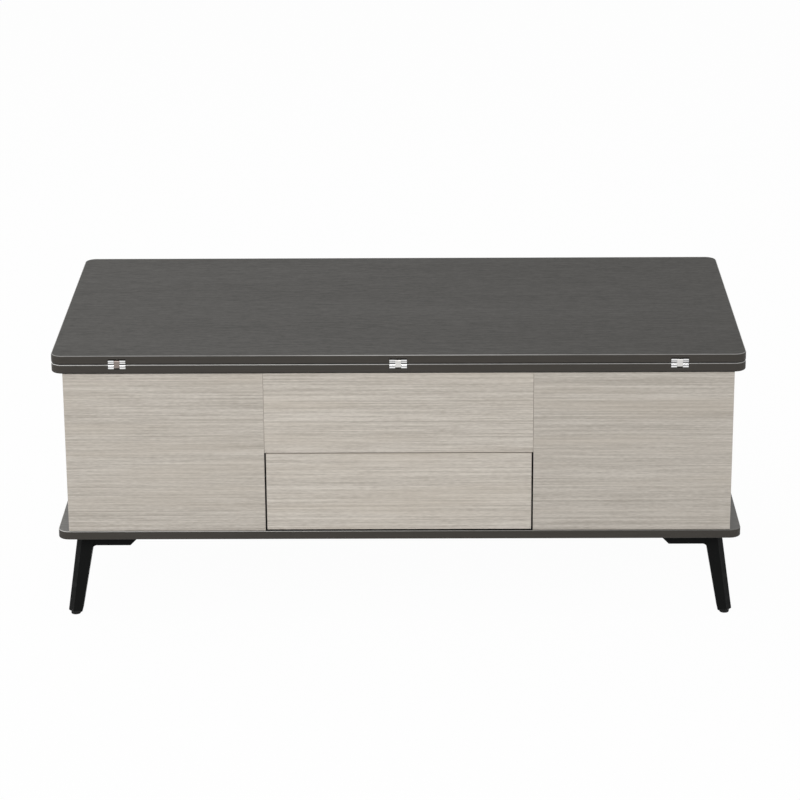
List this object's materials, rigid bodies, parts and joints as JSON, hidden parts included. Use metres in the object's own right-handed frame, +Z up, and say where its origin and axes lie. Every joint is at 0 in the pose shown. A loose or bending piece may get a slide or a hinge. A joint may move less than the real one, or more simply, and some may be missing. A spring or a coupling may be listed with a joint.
{
  "type": "lift-top coffee table",
  "caption": "Storage coffee table on splayed legs: a stacked top lifts on gas-sprung parallel arms and folds out to a dining top, with bins beneath and a flush push-open drawer.",
  "frame": {"origin": "on the floor, under the middle of the table", "axes": "+X along the length to the right as seen from the drawer, -Y to the drawer front, +Z up"},
  "size_m": [1.2, 0.6, 0.4885],
  "materials": {
    "dark_wood": "charcoal wood-grain laminate, matt",
    "pale_wood": "pale greige oak-grain laminate, matt",
    "black_cast": "black powder coat, satin",
    "black_rubber": "moulded rubber",
    "zinc_steel": "zinc-plated steel",
    "grey_plastic": "moulded grey plastic",
    "lift_steel": "dark grey powder coat",
    "gas_paint": "black enamel",
    "gas_chrome": "ground chrome rod",
    "hinge_nickel": "bright nickel plate"
  },
  "bodies": {
    "cabinet": {"base_plate": "dark_wood", "left_end_panel": "pale_wood", "right_end_panel": "pale_wood", "front_left_panel": "pale_wood", "front_right_panel": "pale_wood", "front_centre_panel": "pale_wood", "back_panel": "pale_wood", "left_partition": "pale_wood", "right_partition": "pale_wood", "centre_shelf": "pale_wood", "lid_bumpers": "black_rubber", "front_left_leg": "black_cast", "front_right_leg": "black_cast", "rear_left_leg": "black_cast", "rear_right_leg": "black_cast", "leg_glides": "black_rubber", "cabinet_screws": "zinc_steel", "left_slide_cabinet_rail": "zinc_steel", "right_slide_cabinet_rail": "zinc_steel", "push_latch_housing": "grey_plastic", "left_lift_base_bracket": "lift_steel", "right_lift_base_bracket": "lift_steel", "base_pivot_pins": "zinc_steel"},
    "drawer": {"drawer_front": "pale_wood", "drawer_left_side": "pale_wood", "drawer_right_side": "pale_wood", "drawer_back": "pale_wood", "drawer_bottom": "pale_wood", "left_slide_drawer_rail": "zinc_steel", "right_slide_drawer_rail": "zinc_steel", "drawer_screws": "zinc_steel", "latch_strike_plate": "zinc_steel"},
    "slide_middle_rails": {"left_slide_middle_rail": "zinc_steel", "right_slide_middle_rail": "zinc_steel"},
    "latch_plunger": {"push_latch_plunger": "grey_plastic"},
    "front_arms": {"left_front_lift_arm": "lift_steel", "right_front_lift_arm": "lift_steel"},
    "rear_arms": {"left_rear_lift_arm": "lift_steel", "right_rear_lift_arm": "lift_steel"},
    "gas_cylinders": {"left_gas_cylinder": "gas_paint", "right_gas_cylinder": "gas_paint"},
    "gas_rods": {"left_gas_rod": "gas_chrome", "right_gas_rod": "gas_chrome"},
    "lifted_top": {"lower_leaf": "dark_wood", "left_lift_top_rail": "lift_steel", "right_lift_top_rail": "lift_steel", "top_pivot_pins": "zinc_steel", "rail_screws": "zinc_steel", "left_hinge_lower_body": "hinge_nickel", "middle_hinge_lower_body": "hinge_nickel", "right_hinge_lower_body": "hinge_nickel", "hinge_lower_pins": "hinge_nickel"},
    "hinge_links": {"left_hinge_link": "hinge_nickel", "middle_hinge_link": "hinge_nickel", "right_hinge_link": "hinge_nickel"},
    "folding_leaf": {"upper_leaf": "dark_wood", "left_hinge_upper_body": "hinge_nickel", "middle_hinge_upper_body": "hinge_nickel", "right_hinge_upper_body": "hinge_nickel", "hinge_upper_pins": "hinge_nickel"}
  },
  "joints": [
    {"name": "lift", "type": "hinge", "parent": "cabinet", "child": "front_arms", "pos_m": [0, 0.045, 0.39865], "axis": [-1, 0, 0], "range_deg": [0, 90]},
    {"name": "rear_arm_swing", "type": "hinge", "parent": "cabinet", "child": "rear_arms", "pos_m": [0, 0.08035, 0.434], "axis": [-1, 0, 0], "range_deg": [0, 90]},
    {"name": "top_counter_swing", "type": "hinge", "parent": "front_arms", "child": "lifted_top", "pos_m": [0, -0.235, 0.39865], "axis": [-1, 0, 0], "range_deg": [-90, 0]},
    {"name": "gas_cylinder_swing", "type": "hinge", "parent": "cabinet", "child": "gas_cylinders", "pos_m": [0, 0.02069, 0.26077], "axis": [-1, 0, 0], "range_deg": [0, 45]},
    {"name": "gas_rod_swing", "type": "hinge", "parent": "front_arms", "child": "gas_rods", "pos_m": [0, -0.095, 0.39865], "axis": [-1, 0, 0], "range_deg": [-45, 0]},
    {"name": "leaf_fold", "type": "hinge", "parent": "lifted_top", "child": "hinge_links", "pos_m": [0, -0.2975, 0.4695], "axis": [1, 0, 0], "range_deg": [0, 90]},
    {"name": "leaf_link_swing", "type": "hinge", "parent": "hinge_links", "child": "folding_leaf", "pos_m": [0, -0.2975, 0.475], "axis": [1, 0, 0], "range_deg": [0, 90]},
    {"name": "drawer_slide", "type": "slide", "parent": "cabinet", "child": "drawer", "axis": [0, -1, 0], "range_m": [0, 0.4]},
    {"name": "middle_rail_slide", "type": "slide", "parent": "cabinet", "child": "slide_middle_rails", "axis": [0, -1, 0], "range_m": [0, 0.2]},
    {"name": "latch_press", "type": "slide", "parent": "cabinet", "child": "latch_plunger", "axis": [0, 1, 0], "range_m": [0, 0.003], "stiffness_N_per_m": 400, "springref_m": -0.002}
  ],
  "couplings": [
    {"joint": "rear_arm_swing", "follows": "lift", "ratio": 1},
    {"joint": "top_counter_swing", "follows": "lift", "ratio": -1},
    {"joint": "gas_cylinder_swing", "follows": "lift", "ratio": 0.5},
    {"joint": "gas_rod_swing", "follows": "lift", "ratio": -0.5},
    {"joint": "leaf_link_swing", "follows": "leaf_fold", "ratio": 1},
    {"joint": "middle_rail_slide", "follows": "drawer_slide", "ratio": 0.5}
  ]
}
